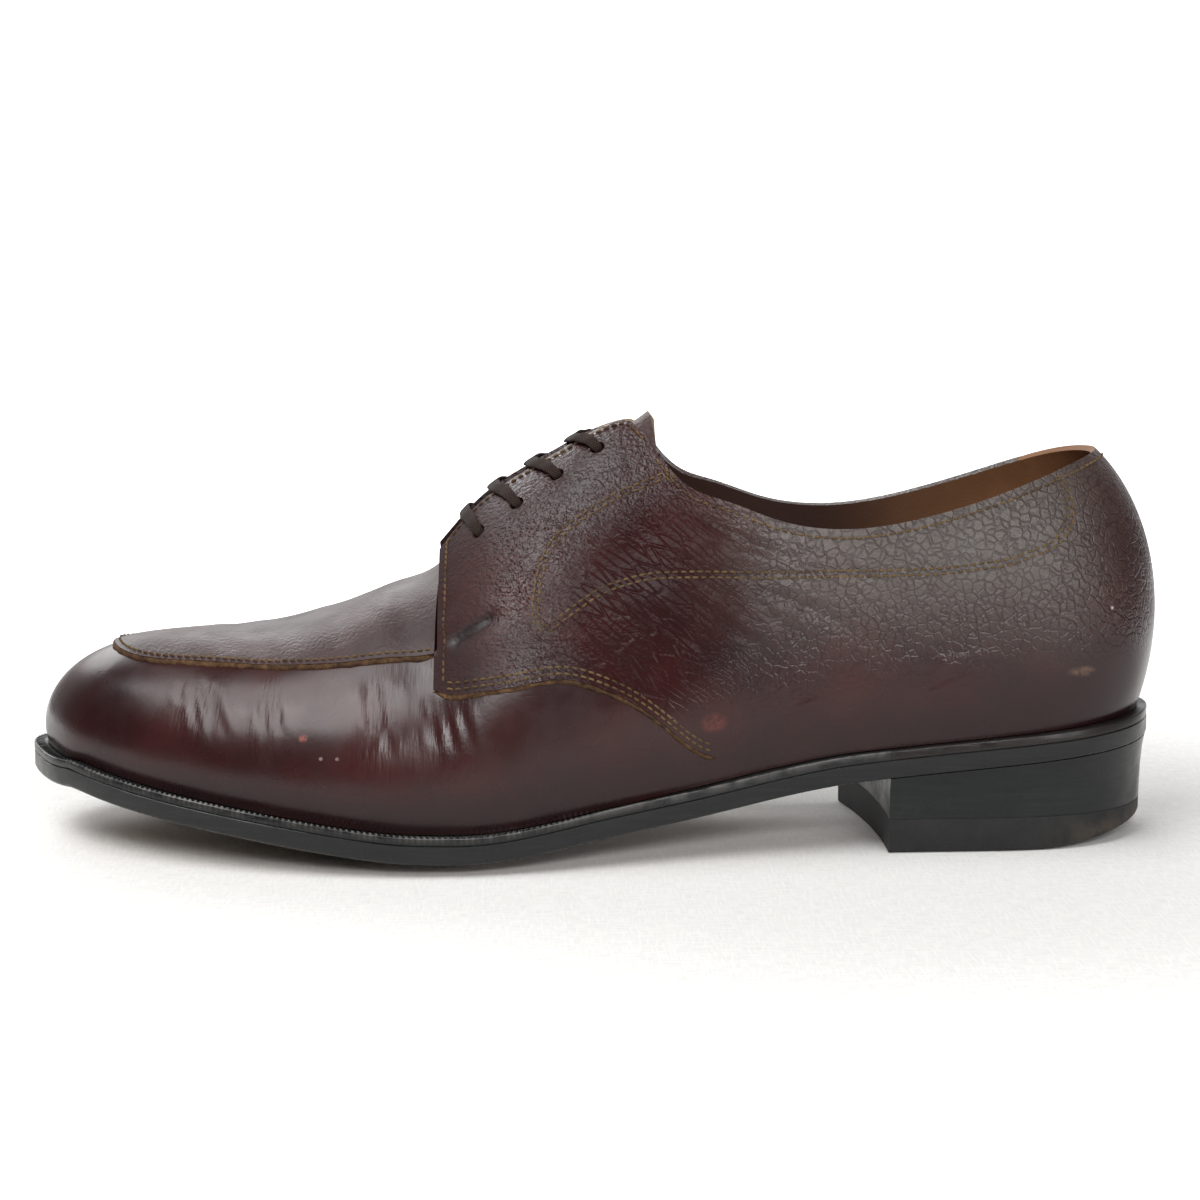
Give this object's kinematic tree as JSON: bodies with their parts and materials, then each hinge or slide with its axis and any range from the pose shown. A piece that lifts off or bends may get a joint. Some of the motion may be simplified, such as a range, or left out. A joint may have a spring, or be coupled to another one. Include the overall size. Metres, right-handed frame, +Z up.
{
  "type": "apron-toe derby shoe",
  "caption": "Left men's apron-toe derby in dark burgundy-brown leather, open-laced with flat straight bars, on a welted leather sole with a stacked heel.",
  "frame": {"origin": "middle of the shoe's box in plan, on the floor plane under the sole", "axes": "toe towards -X, heel towards +X, lateral side towards -Y, medial side towards +Y, +Z up"},
  "size_m": [0.3086, 0.1048, 0.1153],
  "materials": {
    "upper_leather": "polished, partly pebble-grained",
    "tongue_leather": "soft grain",
    "insole_leather": "matt",
    "welt_leather": "stained and wheeled",
    "heel_rand_leather": "stained",
    "outsole_leather": "stained edge",
    "heel_stack_leather": "stained edge",
    "top_lift_rubber": "matt, worn at the back",
    "lace_cotton": "woven, waxed"
  },
  "bodies": {
    "root": {"upper": "upper_leather", "tongue": "tongue_leather", "insole": "insole_leather", "welt": "welt_leather", "heel_rand": "heel_rand_leather", "outsole": "outsole_leather", "heel_stack": "heel_stack_leather", "top_lift": "top_lift_rubber", "lace_bar_1": "lace_cotton", "lace_bar_2": "lace_cotton", "lace_bar_3": "lace_cotton", "lace_bar_4": "lace_cotton"}
  },
  "joints": []
}
